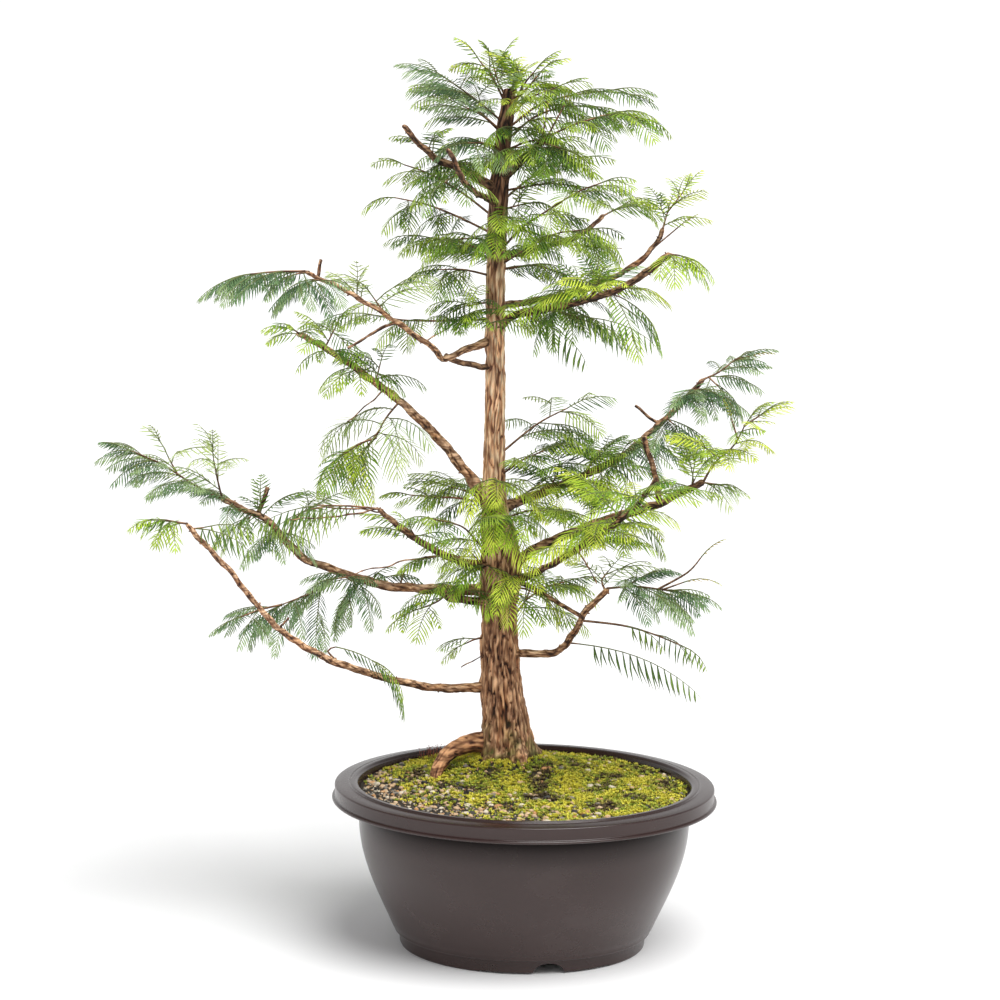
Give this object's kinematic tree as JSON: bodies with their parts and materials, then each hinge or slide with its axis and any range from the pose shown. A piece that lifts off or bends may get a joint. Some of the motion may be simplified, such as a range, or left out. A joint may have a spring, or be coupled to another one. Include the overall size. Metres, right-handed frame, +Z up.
{
  "type": "dawn redwood bonsai in a pot",
  "caption": "Dawn redwood bonsai: tapering trunk with flared foot and cut top, ascending boughs, masses of flat feathery needle sprays, mossy soil and a round plastic training pot.",
  "frame": {"origin": "on the pot's vertical axis, at the flat underside that the pot stands on", "axes": "+Z up along the pot's axis towards the tree's top, -Y towards the front that the picture shows, +X to the right as seen from the front"},
  "size_m": [0.4881, 0.3081, 0.5943],
  "materials": {
    "pot_plastic": "dark taupe brown injection-moulded plastic, half gloss",
    "soil": "grit and soil under yellow-green moss",
    "bark": "fibrous reddish brown bark",
    "bough_bark": "orange-brown to grey-brown bark on boughs and twigs",
    "needles_blue_green": "older blue-green needles",
    "needles_green": "mid-green needles",
    "needles_pale": "pale green needles",
    "needles_fresh": "fresh green needles",
    "needles_lime": "bright lime new growth"
  },
  "bodies": {
    "root": {"bough_crown_front": "bough_bark", "bough_crown_left": "bough_bark", "bough_crown_right": "bough_bark", "bough_left_long": "bough_bark", "bough_left_low": "bough_bark", "bough_left_mid": "bough_bark", "bough_left_rising": "bough_bark", "bough_left_upper": "bough_bark", "bough_right_front": "bough_bark", "bough_right_high": "bough_bark", "bough_right_long": "bough_bark", "bough_right_low": "bough_bark", "bough_right_rising": "bough_bark", "bough_right_upper": "bough_bark", "bough_right_upper_back": "bough_bark", "needles_back_high": "needles_green", "needles_back_low": "needles_green", "needles_back_mid": "needles_green", "needles_crown_blue": "needles_blue_green", "needles_crown_left": "needles_green", "needles_crown_right": "needles_green", "needles_crown_right_far": "needles_green", "needles_crown_top": "needles_lime", "needles_crown_top_right": "needles_lime", "needles_front_high": "needles_fresh", "needles_front_low": "needles_lime", "needles_front_mid": "needles_lime", "needles_front_upper": "needles_fresh", "needles_left_back": "needles_green", "needles_left_fork": "needles_green", "needles_left_high": "needles_green", "needles_left_inner": "needles_green", "needles_left_long_hang": "needles_blue_green", "needles_left_long_tip": "needles_blue_green", "needles_left_long_top": "needles_pale", "needles_left_low_mid": "needles_pale", "needles_left_low_tip": "needles_fresh", "needles_left_mid_tip": "needles_green", "needles_left_rising_hang": "needles_pale", "needles_left_rising_tip": "needles_fresh", "needles_left_thin": "needles_green", "needles_left_upper_mid": "needles_pale", "needles_left_upper_tip": "needles_blue_green", "needles_right_front": "needles_lime", "needles_right_high": "needles_green", "needles_right_long_tip": "needles_lime", "needles_right_low_hang": "needles_green", "needles_right_low_tip": "needles_blue_green", "needles_right_mid": "needles_green", "needles_right_rising_mid": "needles_green", "needles_right_rising_tip": "needles_blue_green", "needles_right_upper_back": "needles_lime", "needles_right_upper_hang": "needles_green", "needles_right_upper_mid": "needles_fresh", "needles_right_upper_tip": "needles_fresh", "pot": "pot_plastic", "soil": "soil", "surface_root": "bark", "trunk": "bark"}
  },
  "joints": []
}
